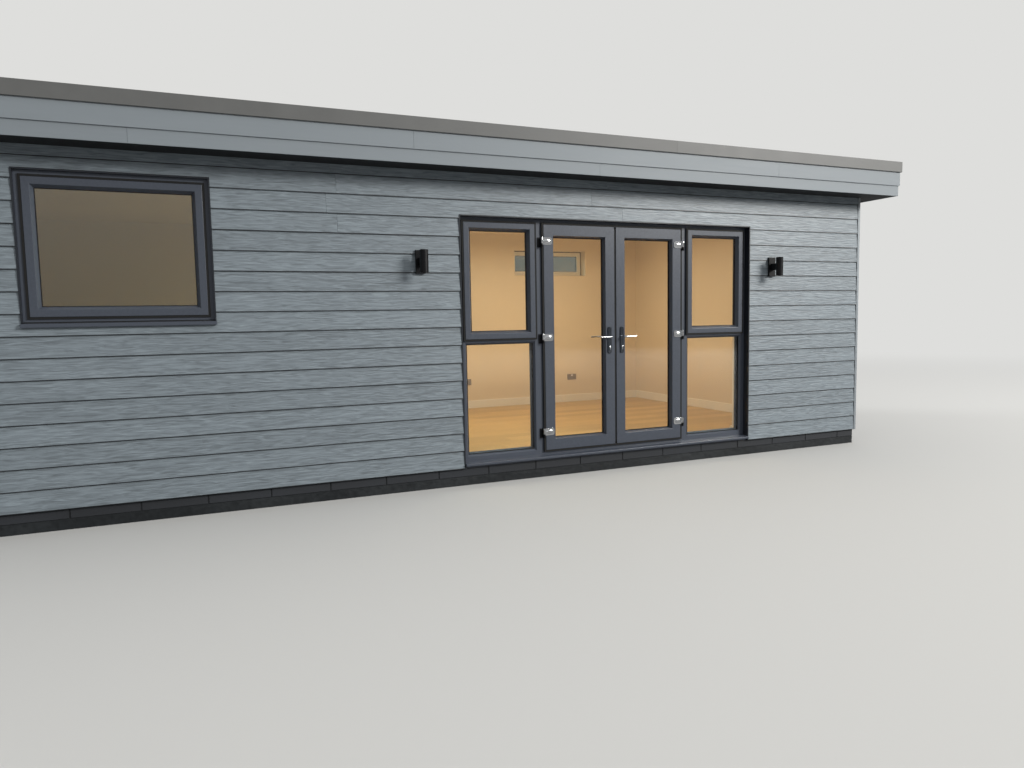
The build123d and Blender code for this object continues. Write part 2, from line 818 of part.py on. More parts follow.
def save(name, shapes):
    """Writes one node, as one solid or as several that don't touch."""
    solids = []
    for shape in shapes if isinstance(shapes, list) else [shapes]:
        solids += list(shape.solids())
    export_step(solids[0] if len(solids) == 1 else Compound(children=solids), f"parts/{name}.step")


def main():
    os.makedirs("parts", exist_ok=True)
    save("base_slab", base_slab())
    long_runs, ends = plinth_courses()
    save("plinth_long_runs", long_runs)
    save("plinth_ends", ends)
    save("floor_boards", floor_boards())

    piers, panels = front_walls()
    save("front_wall", piers)
    save("front_wall_panels", panels)
    piers, panels = back_walls()
    save("back_wall", piers)
    save("back_wall_panels", panels)
    save("left_wall", end_wall(-1))
    save("right_wall", end_wall(1))
    save("front_cladding", front_cladding())
    save("back_cladding", back_cladding())
    save("end_cladding", end_claddings())
    save("corner_trims", corner_trims())
    save("skirting", skirting())
    save("sockets", sockets())

    save("ceiling", ceiling())
    save("roof_deck", roof_deck())
    save("roof_membrane", roof_membrane())
    save("roof_trim", roof_trim())
    save("fascia_boards", fascia_boards())
    save("soffit", soffit())

    save("reveal_liners", reveal_liners())
    posts = door_posts()
    save("door_frame_posts", [at_doors(p) for p in posts])
    save("door_frame_rails", [at_doors(r) for r in door_rails(posts)])
    save("side_light_sashes", [at_doors(s) for s in side_sashes()])
    save("side_light_beads", [at_doors(s) for s in side_beads()])
    save("side_light_glass", [at_doors(s) for s in side_glass()])
    save("door_sill", at_doors(door_sill()))

    bases = []
    right_hand = {
        "door_leaf": door_leaf(),
        "door_glass": door_glass(),
        "handle_plates": handle_plates(),
        "levers": lever_pair(),
        "hinge_flags": [hinge_flag(z) for z in hinge_heights],
    }
    for name, shapes in right_hand.items():
        shapes = shapes if isinstance(shapes, list) else [shapes]
        save(f"{name}_right", [at_doors(s) for s in shapes])
        save(f"{name}_left", [at_doors(mirror(s, about=Plane.YZ)) for s in shapes])
    for z in hinge_heights:
        bases += both_sides(hinge_base(z))
    save("hinge_bases", [at_doors(b) for b in bases])

    save("window_frames", [at_front(front_window_frame()), at_back(back_window_frame())])
    save("window_sash", at_front(window_sash()))
    save("window_glass", window_glass())
    save("window_sill", at_front(window_sill()))
    save("wall_lights", [at_front(wall_light(x)) for x in light_middles])

    print("hinge axes x", door_x - hinge_axis_x, door_x + hinge_axis_x, "y", front_y + hinge_axis_in)
    print("spindles x", door_x - spindle_x, door_x + spindle_x, "z", spindle_height)
    print("leaf y", front_y + leaf_in, front_y + leaf_in + leaf_depth)
    print("overall", 2 * roof_half_length, 2 * roof_half_depth, trim_top)


if __name__ == "__main__":
    main()
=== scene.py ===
import math
import random

import bmesh
import bpy
from bpy.props import FloatProperty, FloatVectorProperty, IntProperty, PointerProperty
from mathutils import Matrix, Vector


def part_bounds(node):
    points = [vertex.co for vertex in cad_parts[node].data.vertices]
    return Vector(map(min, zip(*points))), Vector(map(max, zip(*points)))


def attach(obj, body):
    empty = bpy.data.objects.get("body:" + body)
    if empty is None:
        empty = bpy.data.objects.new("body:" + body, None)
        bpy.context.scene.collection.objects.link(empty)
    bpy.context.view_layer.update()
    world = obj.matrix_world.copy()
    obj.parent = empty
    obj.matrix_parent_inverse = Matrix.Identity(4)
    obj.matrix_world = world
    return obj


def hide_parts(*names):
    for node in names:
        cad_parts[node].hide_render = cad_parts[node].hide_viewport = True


bl_info = {
    "name": "Garden office pod",
    "version": (1, 0, 0),
    "blender": (4, 5, 0),
    "location": "View3D > Sidebar > Pod",
    "description": "Dresses a flat-roofed garden office with boards, frames, glass and fittings",
    "category": "Object",
}

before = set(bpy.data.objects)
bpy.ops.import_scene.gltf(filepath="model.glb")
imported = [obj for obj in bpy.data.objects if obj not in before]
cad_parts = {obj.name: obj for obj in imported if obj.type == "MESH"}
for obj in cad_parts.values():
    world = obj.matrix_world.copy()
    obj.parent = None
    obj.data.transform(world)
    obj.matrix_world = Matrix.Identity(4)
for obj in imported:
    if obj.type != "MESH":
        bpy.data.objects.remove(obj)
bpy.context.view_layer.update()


def linear(code):
    """Turns an sRGB hex colour to linear values."""
    values = [int(code[i:i + 2], 16) / 255 for i in (0, 2, 4)]
    return tuple(v / 12.92 if v <= 0.04045 else ((v + 0.055) / 1.055) ** 2.4 for v in values)


def part_box(node, keep=lambda co: True):
    """Lowest and highest corners of the part of a node whose points pass a test."""
    points = [v.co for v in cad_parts[node].data.vertices if keep(v.co)]
    low = Vector(min(p[i] for p in points) for i in range(3))
    high = Vector(max(p[i] for p in points) for i in range(3))
    return low, high


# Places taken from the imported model, in metres
clad_low, clad_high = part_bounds("front_cladding")
trim_low, trim_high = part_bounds("corner_trims")
doorway_low, doorway_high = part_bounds("door_frame_posts")
fascia_low, fascia_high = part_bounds("fascia_boards")
floor_low, floor_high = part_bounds("floor_boards")
plinth_low, plinth_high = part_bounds("plinth_long_runs")
doorway_middle = (doorway_low.x + doorway_high.x) / 2
liner = 0.010


class CladdingSettings(bpy.types.PropertyGroup):
    course: FloatProperty(
        name="Course", description="Height of board that shows", default=0.150, unit="LENGTH")
    board_height: FloatProperty(
        name="Board height", description="Full height of a board with its lap", default=0.180, unit="LENGTH")
    thickness: FloatProperty(
        name="Thickness", description="Thickness of a board", default=0.010, unit="LENGTH")
    board_length: FloatProperty(
        name="Board length", description="Longest board", default=3.6, unit="LENGTH")
    joint_gap: FloatProperty(
        name="Joint gap", description="Gap between board ends", default=0.0015, unit="LENGTH")
    known_joint: FloatProperty(
        name="Known joint", description="Place of the joint that shows on the front", default=-0.954,
        unit="LENGTH")
    known_course: IntProperty(
        name="Known course", description="Number of the course with that joint, from the bottom", default=13,
        subtype="UNSIGNED")
    colour: FloatVectorProperty(
        name="Board colour", description="Factory colour of the boards", subtype="COLOR",
        default=linear("79838a"))
    fascia_colour: FloatVectorProperty(
        name="Fascia colour", description="Colour of the smooth fascia boards", subtype="COLOR",
        default=linear("848c92"))


class FrameSettings(bpy.types.PropertyGroup):
    colour: FloatVectorProperty(
        name="Frame colour", description="Foil colour of the frames", subtype="COLOR",
        default=linear("494f5a"))
    gasket_width: FloatProperty(
        name="Gasket width", description="Rubber that shows round each pane", default=0.004, unit="LENGTH")
    gasket_depth: FloatProperty(
        name="Gasket depth", description="Height of the rubber above the glass", default=0.003, unit="LENGTH")
    weld_width: FloatProperty(
        name="Weld width", description="Groove along each welded corner", default=0.0012, unit="LENGTH")


class RoofSettings(bpy.types.PropertyGroup):
    trim_colour: FloatVectorProperty(
        name="Trim colour", description="Colour of the raised roof trim", subtype="COLOR",
        default=linear("6a6b6a"))
    trim_length: FloatProperty(
        name="Trim length", description="Length of one piece of roof trim", default=3.0, unit="LENGTH")
    trim_joint: FloatProperty(
        name="Trim joint", description="Place of the trim joint that shows on the front", default=2.02,
        unit="LENGTH")


class RoomSettings(bpy.types.PropertyGroup):
    plaster_colour: FloatVectorProperty(
        name="Wall colour", description="Emulsion on the inner walls", subtype="COLOR",
        default=linear("e6d8c0"))
    plank_width: FloatProperty(
        name="Plank width", description="Width of a floor plank", default=0.192, unit="LENGTH")
    plank_length: FloatProperty(
        name="Plank length", description="Length of a floor plank", default=1.285, unit="LENGTH")
    floor_colour: FloatVectorProperty(
        name="Floor colour", description="Light oak of the floor", subtype="COLOR", default=linear("c6a66c"))


class StageSettings(bpy.types.PropertyGroup):
    backdrop: FloatVectorProperty(
        name="Backdrop", description="Pale colour of the floor and backdrop", subtype="COLOR",
        default=linear("dededc"))
    floor: FloatVectorProperty(
        name="Floor", description="Colour of the floor, which gets more light", subtype="COLOR",
        default=linear("c8c8c6"))
    horizon: FloatProperty(
        name="Horizon", description="Strength of the sky at eye level", default=0.22, subtype="FACTOR")
    zenith: FloatProperty(
        name="Zenith", description="Strength of the sky overhead", default=1.0, subtype="FACTOR")
    key: FloatProperty(
        name="Key power", description="Soft lamp at the front, on the right", default=6000.0, unit="POWER")
    fill: FloatProperty(
        name="Fill power", description="Soft lamp at the back", default=2500.0, unit="POWER")
    room: FloatProperty(
        name="Room power", description="Warm lamps inside the room", default=58.0, unit="POWER")


# Materials

# Finishes with a fine grain: colour, size and relief of the grain in mm, roughness and tint from and to
even = (0.9, 1.08)
finishes = {
    "black_breather_membrane": ("16181a", 4.0, 0.1, (0.7, 0.85), even),
    "black_damp_membrane": ("1d2124", 35.0, 4.0, (0.35, 0.6), (0.7, 1.3)),
    "black_powder_coat": ("111215", 2.0, 0.08, (0.3, 0.42), even),
    # Black rubber; the same black also paints the shadow band round each leaf and sash.
    "black_rubber_gasket": ("08090a", 3.0, 0.05, (0.7, 0.8), even),
    "black_soffit_board": ("0d0f12", 8.0, 0.2, (0.6, 0.75), even),
    "coated_corner_trim": ("8f969b", 25.0, 0.05, (0.35, 0.45), even),
    # Painted shade: the black of the keyway stands in for the shade inside its hole.
    "keyway_painted_shade": ("0b0b0c", 1.0, 0.02, (0.6, 0.7), even),
    "dark_mortar": ("1b1d20", 3.0, 0.5, (0.8, 0.95), even),
    "dark_painted_block": ("2a2d32", 6.0, 0.8, (0.6, 0.85), (0.75, 1.3)),
    # Painted shade: the dark of the pin slots stands in for the shade inside the holes.
    "pin_slot_painted_shade": ("24211f", 2.0, 0.02, (0.6, 0.7), even),
    "emulsion_on_plaster": ("e6d8c0", 14.0, 0.25, (0.7, 0.85), (0.97, 1.03)),
    "frosted_lens": ("dfe0dc", 1.0, 0.05, (0.45, 0.6), even),
    "grey_roof_membrane": ("3a3e42", 12.0, 0.4, (0.76, 0.84), even),
    "satin_wood_paint": ("f4f1ea", 30.0, 0.1, (0.3, 0.45), (0.97, 1.0)),
    "white_switch_plastic": ("f2f0ec", 2.0, 0.02, (0.2, 0.3), even),
}


def add_node(kind, inputs, tree=None, **settings):
    """Adds a node to a tree, or else to the tree of its inputs, and fills or links them."""
    if tree is None:
        tree = next(v.id_data for v in inputs.values() if isinstance(v, bpy.types.NodeSocket))
    node = tree.nodes.new("ShaderNode" + kind)
    for name, value in settings.items():
        setattr(node, name, value)
    for name, value in inputs.items():
        if isinstance(value, bpy.types.NodeSocket):
            tree.links.new(value, node.inputs[name])
        else:
            node.inputs[name].default_value = value
    return node


def link(source, target):
    """Links one socket to another."""
    source.id_data.links.new(source, target)


def start_material(name, **values):
    """A new material with its Principled shader and its Object coordinates."""
    material = bpy.data.materials.new(name)
    material.use_nodes = True
    shader = material.node_tree.nodes["Principled BSDF"]
    for key, value in values.items():
        shader.inputs[key.replace("_", " ")].default_value = value
    place = add_node("TexCoord", {}, material.node_tree).outputs["Object"]
    return material, shader, place


def reckon(operation, *values):
    """One sum on patterns and numbers."""
    return add_node("Math", dict(enumerate(values)), operation=operation).outputs[0]


def axis(place, name):
    """One of the three coordinates."""
    return add_node("SeparateXYZ", {0: place}).outputs[name]


def stretched(place, *scale):
    """Coordinates multiplied by a number for each direction."""
    return add_node("VectorMath", {0: place, 1: scale}, operation="MULTIPLY").outputs["Vector"]


def noise(place, scale=1.0, detail=2.0, distortion=0.0):
    """A cloudy pattern."""
    inputs = {"Vector": place, "Scale": scale, "Detail": detail, "Distortion": distortion}
    return add_node("TexNoise", inputs).outputs["Fac"]


def between(value, low, high, first=0.0, last=1.0, **settings):
    """Goes from a first to a last number as a value goes from low to high."""
    inputs = {"Value": value, "From Min": low, "From Max": high, "To Min": first, "To Max": last}
    return add_node("MapRange", inputs, **settings).outputs["Result"]


def blend(*parts):
    """Adds patterns together, each with its own weight."""
    total = 0.0
    for pattern, weight in parts:
        total = reckon("MULTIPLY_ADD", pattern, weight, total)
    return total


def two_tone(factor, first, second):
    """A colour between two colours."""
    return add_node("Mix", {"Factor": factor, 6: first, 7: second}, data_type="RGBA").outputs[2]


def shade(shader, colour, factor, dark, light):
    """Base colour that goes from a darker to a lighter tint of one colour."""
    darker, lighter = ((*[min(c * tint, 1.0) for c in colour], 1.0) for tint in (dark, light))
    mixed = two_tone(factor, darker, lighter)
    link(mixed, shader.inputs["Base Color"])
    return mixed


def rough(shader, factor, low, high):
    """Roughness that follows a pattern between two values."""
    link(between(factor, 0.0, 1.0, low, high), shader.inputs["Roughness"])


def bump(shader, height, depth, strength):
    """Relief of a real depth in metres."""
    relief = add_node("Bump", {"Height": height, "Distance": depth, "Strength": strength})
    link(relief.outputs["Normal"], shader.inputs["Normal"])


def show(factor, first, second, output="Material Output"):
    """Sends a mix of two shaders to the output."""
    mix = add_node("MixShader", {0: factor, 1: first.outputs[0], 2: second.outputs[0]})
    link(mix.outputs[0], factor.id_data.nodes[output].inputs["Surface"])


def board_tone(tree):
    """The tone that mark wrote on each board."""
    return add_node("Attribute", {}, tree, attribute_name="board_tone").outputs["Fac"]


def along_the_board(place):
    """Coordinates that run along a board on any wall and start anew on each board."""
    shift, tone = 53.0, board_tone(place.id_data)
    along = reckon("ADD", axis(place, "X"), axis(place, "Y"))
    along = reckon("MULTIPLY_ADD", tone, shift, along)
    return add_node("CombineXYZ", {"X": along, "Z": axis(place, "Z")}).outputs["Vector"], tone


def embossed_board(colour, course):
    """Fibre cement pressed with a cedar grain, and a painted shadow line along the lower edge of each board.
    """
    relief, shade_line_top, shade_line_full = 0.0021, 0.006, 0.004
    material, shader, place = start_material("embossed_fibre_cement")
    run, tone = along_the_board(place)
    swirl = add_node(
        "TexWave",
        {"Vector": stretched(run, 0.25, 1.0, 1.0), "Scale": 11.0, "Distortion": 14.0, "Detail": 2.0,
         "Detail Scale": 0.9, "Detail Roughness": 0.6},
        bands_direction="Z").outputs["Fac"]
    streak = noise(stretched(run, 5.5, 1.0, 55.0), detail=4.0, distortion=1.4)
    streak = between(streak, 0.3, 0.7)
    fibre = noise(stretched(run, 14.0, 1.0, 220.0))
    cloud = noise(stretched(run, 0.8, 1.0, 3.0))
    pattern = blend((streak, 0.6), (swirl, 0.15), (cloud, 0.2), (tone, 0.12))
    tint = shade(shader, colour, pattern, 0.55, 1.45)
    # Painted shadow: the lowest 4 to 6 mm of each board is darkened to near black, to deepen the shade line
    # at each lap.
    above = reckon("SUBTRACT", axis(place, "Z"), clad_low.z)
    painted_shade_line = between(reckon("MODULO", above, course), shade_line_top, shade_line_full)
    link(two_tone(painted_shade_line, tint, (*linear("14171a"), 1.0)), shader.inputs["Base Color"])
    rough(shader, fibre, 0.36, 0.5)
    bump(shader, blend((swirl, 0.2), (streak, 0.55), (fibre, 0.25)), relief, 1.0)
    return material


def smooth_board(colour):
    """Smooth fibre cement fascia: flat colour with faint streaks along the board."""
    material, shader, place = start_material("smooth_fibre_cement")
    run, tone = along_the_board(place)
    streak = noise(stretched(run, 2.0, 1.0, 40.0))
    shade(shader, colour, blend((streak, 0.5), (tone, 0.5)), 0.93, 1.06)
    rough(shader, streak, 0.46, 0.58)
    bump(shader, streak, 0.0003, 0.5)
    return material


def foiled_profile(name, colour, weld=0.0, corners=None, fold=None):
    """Smooth foil on extruded plastic, with a fine groove where the corners are welded."""
    material, shader, place = start_material(name)
    mottle = noise(place, 60.0)
    rough(shader, mottle, 0.28, 0.4)
    if corners is None:
        shade(shader, colour, mottle, 0.96, 1.05)
        bump(shader, mottle, 0.0001, 0.4)
        return material
    low, high = corners
    sideways, start, end = axis(place, "X"), low.x, high.x
    if fold is not None:
        sideways = reckon("ABSOLUTE", reckon("SUBTRACT", sideways, fold))
        start, end = start - fold, end - fold
    insets = []
    for value, a, b in ((sideways, start, end), (axis(place, "Z"), low.z, high.z)):
        away = reckon("ABSOLUTE", reckon("SUBTRACT", value, (a + b) / 2))
        insets.append(reckon("SUBTRACT", (b - a) / 2, away))
    apart = reckon("ABSOLUTE", reckon("SUBTRACT", *insets))
    plain = between(apart, weld * 0.4, weld)
    shade(shader, colour, reckon("MULTIPLY", mottle, plain), 0.8, 1.14)
    bump(shader, plain, 0.0006, 0.6)
    return material


def two_sided_profile(outside, inside, level):
    """Foiled plastic whose room side is white, as on the high window at the back."""
    material, shader, place = start_material("foiled_outside_white_inside")
    depth = axis(place, "Y")
    behind = reckon("GREATER_THAN", depth, 0.0)
    room_side = reckon("MULTIPLY", behind, reckon("LESS_THAN", depth, level))
    mottle = noise(place, 60.0)
    foil = shade(shader, outside, mottle, 0.96, 1.05)
    link(two_tone(room_side, foil, (*inside, 1.0)), shader.inputs["Base Color"])
    rough(shader, mottle, 0.28, 0.4)
    bump(shader, mottle, 0.0001, 0.4)
    return material


def speckled(name, colour=None, **values):
    """One of the finishes, in its own colour or in another."""
    code, grain_mm, relief_mm, roughness, tints = finishes[name]
    material, shader, place = start_material(name, **values)
    grain = noise(place, 1000.0 / grain_mm, 4.0)
    broad = noise(place, 1.6, 3.0)
    spread = between(reckon("MULTIPLY", grain, broad), 0.12, 0.4)
    shade(shader, linear(code) if colour is None else colour, spread, *tints)
    rough(shader, spread, *roughness)
    bump(shader, grain, relief_mm / 1000, 0.7)
    return material


def trim_metal(colour, length, joint):
    """Folded sheet trim with a satin coat: each length differs a little, with a dark joint between."""
    material, shader, place = start_material("coated_sheet_trim")
    lengths = reckon("DIVIDE", reckon("SUBTRACT", axis(place, "X"), joint), length)
    inputs = {"W": reckon("FLOOR", lengths)}
    tone = add_node("TexWhiteNoise", inputs, noise_dimensions="1D").outputs["Value"]
    near_mm = reckon("MULTIPLY", reckon("PINGPONG", lengths, 1.0), length * 1000)
    plain = between(near_mm, 1.0, 2.5)
    cloud = noise(place, 5.0, 4.0)
    shown = reckon("MULTIPLY", blend((cloud, 0.5), (tone, 0.5)), plain)
    shade(shader, colour, shown, 0.72, 1.2)
    rough(shader, cloud, 0.45, 0.6)
    bump(shader, plain, 0.0008, 0.8)
    return material


def polished(name, colour, roughness):
    """Polished plate on a casting, with light handling marks."""
    material, shader, place = start_material(name, Metallic=1.0)
    marks = noise(place, 90.0, 5.0)
    shade(shader, colour, marks, 0.94, 1.04)
    rough(shader, marks, roughness * 0.6, roughness * 1.5)
    return material


def sealed_glass(name, tint, index):
    """Glass that lamps shine through. Its index is raised, for the four surfaces of a sealed unit."""
    material, shader, place = start_material(name, IOR=index, Transmission_Weight=1.0)
    tree, colour = material.node_tree, (*linear(tint), 1.0)
    shader.inputs["Base Color"].default_value = colour
    rough(shader, noise(place, 3.0, 5.0), 0.0, 0.02)
    clear = add_node("BsdfTransparent", {"Color": colour}, tree)
    show(add_node("LightPath", {}, tree).outputs["Is Shadow Ray"], shader, clear)
    return material


def oak_plank(colour):
    """Printed oak laminate: long grain, darker streaks, and a satin wear layer."""
    material, shader, place = start_material("oak_laminate")
    shift, tone = 31.0, board_tone(material.node_tree)
    along = reckon("MULTIPLY_ADD", tone, shift, axis(place, "X"))
    run = add_node("CombineXYZ", {"X": along, "Y": axis(place, "Y")}).outputs["Vector"]
    grain = noise(stretched(run, 2.5, 55.0, 1.0), detail=5.0, distortion=0.6)
    spread = between(reckon("MULTIPLY_ADD", tone, 0.45, grain), 0.35, 1.1)
    shade(shader, colour, spread, 0.74, 1.18)
    rough(shader, grain, 0.3, 0.45)
    bump(shader, grain, 0.0002, 0.5)
    return material


# Mesh helpers

def box(bm, low, high, tone=0.5, index=0):
    """A block between two corners, with its tone and material number."""
    low, high = Vector(low), Vector(high)
    size = high - low
    made = bmesh.ops.create_cube(
        bm, size=1.0, matrix=Matrix.Translation((low + high) / 2) @ Matrix.Diagonal((*size, 1.0)))
    mark(bm, made["verts"], tone, index)


def mark(bm, verts, tone=0.5, index=0):
    """Writes the tone and the material number on the faces of some points."""
    layer = bm.faces.layers.float.get("board_tone") or bm.faces.layers.float.new("board_tone")
    for face in {f for v in verts for f in v.link_faces}:
        face[layer] = tone
        face.material_index = index


def ring(bm, low, high, width, y0, y1):
    """A rectangular ring that faces the front, between two depths."""
    (x0, z0), (x1, z1) = low, high
    place = Matrix.Translation(((x0 + x1) / 2, y0, (z0 + z1) / 2)) @ Matrix.Rotation(math.pi / 2, 4, "X")
    place = place @ Matrix.Diagonal((x1 - x0, z1 - z0, 1.0, 1.0))
    made = bmesh.ops.create_grid(bm, x_segments=1, y_segments=1, size=0.5, matrix=place)
    face = made["verts"][0].link_faces[0]
    around = bmesh.ops.inset_region(
        bm, faces=[face], thickness=width, use_boundary=True, use_even_offset=True)["faces"]
    bmesh.ops.delete(bm, geom=[face], context="FACES")
    made = bmesh.ops.extrude_face_region(bm, geom=around)["geom"]
    verts = [g for g in made if isinstance(g, bmesh.types.BMVert)]
    bmesh.ops.translate(bm, verts=verts, vec=(0, y1 - y0, 0))
    mark(bm, verts)


def rod(bm, start, end, radius):
    """A round bar from one point to another."""
    start, end = Vector(start), Vector(end)
    turn = (end - start).to_track_quat("Z", "Y").to_matrix().to_4x4()
    made = bmesh.ops.create_cone(
        bm, cap_ends=True, segments=32, radius1=radius, radius2=radius, depth=(end - start).length,
        matrix=Matrix.Translation((start + end) / 2) @ turn)
    mark(bm, made["verts"])


def dome(bm, middle, sizes):
    """A smooth flattened sphere with three half sizes."""
    made = bmesh.ops.create_uvsphere(
        bm, u_segments=24, v_segments=12, radius=1.0,
        matrix=Matrix.Translation(middle) @ Matrix.Diagonal((*sizes, 1.0)))
    mark(bm, made["verts"])
    for face in {f for v in made["verts"] for f in v.link_faces}:
        face.smooth = True


def free_spans(start, end, low, high, holes):
    """The stretches and height bands of a board that its holes leave."""
    levels = sorted({low, high, *[z for h in holes for z in h[2:] if low < z < high]})
    for bottom, top in zip(levels, levels[1:]):
        cursor = start
        for x0, x1, z0, z1 in sorted(holes):
            if z0 < top and z1 > bottom and x1 > cursor and x0 < end:
                if x0 > cursor:
                    yield cursor, x0, bottom, top
                cursor = max(cursor, x1)
        if cursor < end:
            yield cursor, end, bottom, top


def every(length, first, span):
    """Places of joints one length apart, through one known place."""
    start = math.ceil((span[0] - first) / length)
    end = math.ceil((span[1] - first) / length)
    return [first + n * length for n in range(start, end)]


def lay_boards(bm, place, span, courses, cuts=((),), gap=0.0, holes=(), seed=1, index=0):
    """Lays courses of boards between their cuts. Each course is (low, high, depth, lean, thickness)."""
    chance = random.Random(seed)
    for number, (low, high, depth, lean, thickness) in enumerate(courses):
        shear = Matrix.Identity(4)
        shear[1][2] = lean
        ends = [span[0] - gap / 2, *sorted(cuts[number % len(cuts)]), span[1] + gap / 2]
        for start, end in zip(ends, ends[1:]):
            tone = chance.random()
            for x0, x1, z0, z1 in free_spans(start + gap / 2, end - gap / 2, low, high, holes):
                middle = depth + lean * ((z0 + z1) / 2 - low) + thickness / 2
                made = bmesh.ops.create_cube(
                    bm, size=1.0,
                    matrix=place @ Matrix.Translation(((x0 + x1) / 2, middle, (z0 + z1) / 2)) @ shear
                    @ Matrix.Diagonal((x1 - x0, thickness, z1 - z0, 1.0)))
                mark(bm, made["verts"], tone, index)


def finish_piece(name, bm, materials, body, stands_for=()):
    """Turns a bmesh into a piece that rides on a body."""
    bmesh.ops.recalc_face_normals(bm, faces=bm.faces[:])
    mesh = bpy.data.meshes.new(name)
    bm.to_mesh(mesh)
    bm.free()
    piece = bpy.data.objects.new(name, mesh)
    bpy.context.scene.collection.objects.link(piece)
    for material in materials:
        mesh.materials.append(material)
    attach(piece, body)
    if stands_for:
        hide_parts(*stands_for)
    return piece


def dress(material, *nodes):
    """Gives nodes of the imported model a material."""
    for name in nodes:
        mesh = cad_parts[name].data
        mesh.materials.clear()
        mesh.materials.append(material)


def rounded(material, width, slot, *nodes):
    """Stands a merged copy with rounded edges for each node, so that the edges catch the light."""
    for node in nodes:
        side = node.rsplit("_", 1)[-1]
        body = f"{side}_leaf" if side in ("left", "right") else "building"
        bm = bmesh.new()
        bm.from_mesh(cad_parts[node].data)
        bmesh.ops.remove_doubles(bm, verts=bm.verts[:], dist=0.00001)
        bmesh.ops.dissolve_limit(bm, angle_limit=math.radians(1.0), verts=bm.verts[:], edges=bm.edges[:])
        piece = finish_piece(f"{node}_rounded", bm, [material], body, [node])
        bevel = piece.modifiers.new("rounded_edges", "BEVEL")
        bevel.width, bevel.segments = width, 2
        bevel.limit_method, bevel.angle_limit = "ANGLE", math.radians(40)


def wall_place(side):
    """Turns (along, depth in, height) to the frame for a wall: front, back, left or right."""
    rows = {
        "front": ((1, 0, 0, 0), (0, 1, 0, trim_low.y)),
        "back": ((1, 0, 0, 0), (0, -1, 0, trim_high.y)),
        "left": ((0, 1, 0, trim_low.x), (1, 0, 0, 0)),
        "right": ((0, -1, 0, trim_high.x), (1, 0, 0, 0)),
    }
    return Matrix((*rows[side], (0, 0, 1, 0), (0, 0, 0, 1)))


# Operators

